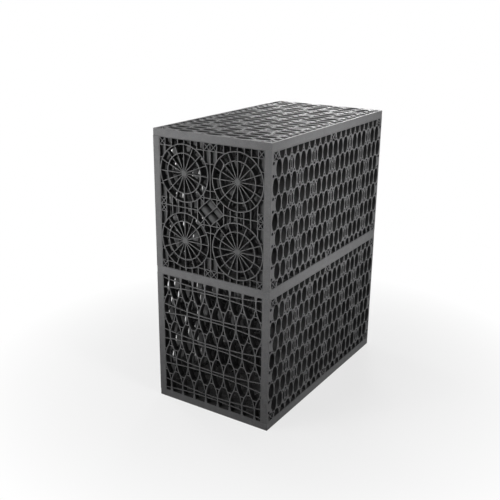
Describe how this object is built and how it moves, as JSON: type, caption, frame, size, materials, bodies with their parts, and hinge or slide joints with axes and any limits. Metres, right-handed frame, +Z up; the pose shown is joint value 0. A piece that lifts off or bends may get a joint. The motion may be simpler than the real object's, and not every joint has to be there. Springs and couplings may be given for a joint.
{
  "type": "soakaway crate",
  "caption": "Tall open box of dark moulded lattice plates that holds rainwater underground and lets it seep away, with spoked round knock-outs for pipes in one end plate.",
  "frame": {"origin": "middle of the base, on the ground", "axes": "+Z up, X across the width, +Y along the length away from the end with the pipe knock-outs"},
  "size_m": [0.4, 0.715, 0.86],
  "materials": {
    "moulded_plastic": "charcoal recycled polypropylene, satin moulded surface"
  },
  "bodies": {
    "root": {"bottom_plate": "moulded_plastic", "middle_plate": "moulded_plastic", "top_plate": "moulded_plastic", "lower_left_side": "moulded_plastic", "lower_right_side": "moulded_plastic", "upper_left_side": "moulded_plastic", "upper_right_side": "moulded_plastic", "lower_front_end": "moulded_plastic", "lower_rear_end": "moulded_plastic", "upper_front_end": "moulded_plastic", "upper_rear_end": "moulded_plastic", "lower_inner_front": "moulded_plastic", "lower_inner_rear": "moulded_plastic", "upper_inner_front": "moulded_plastic", "upper_inner_rear": "moulded_plastic"}
  },
  "joints": []
}
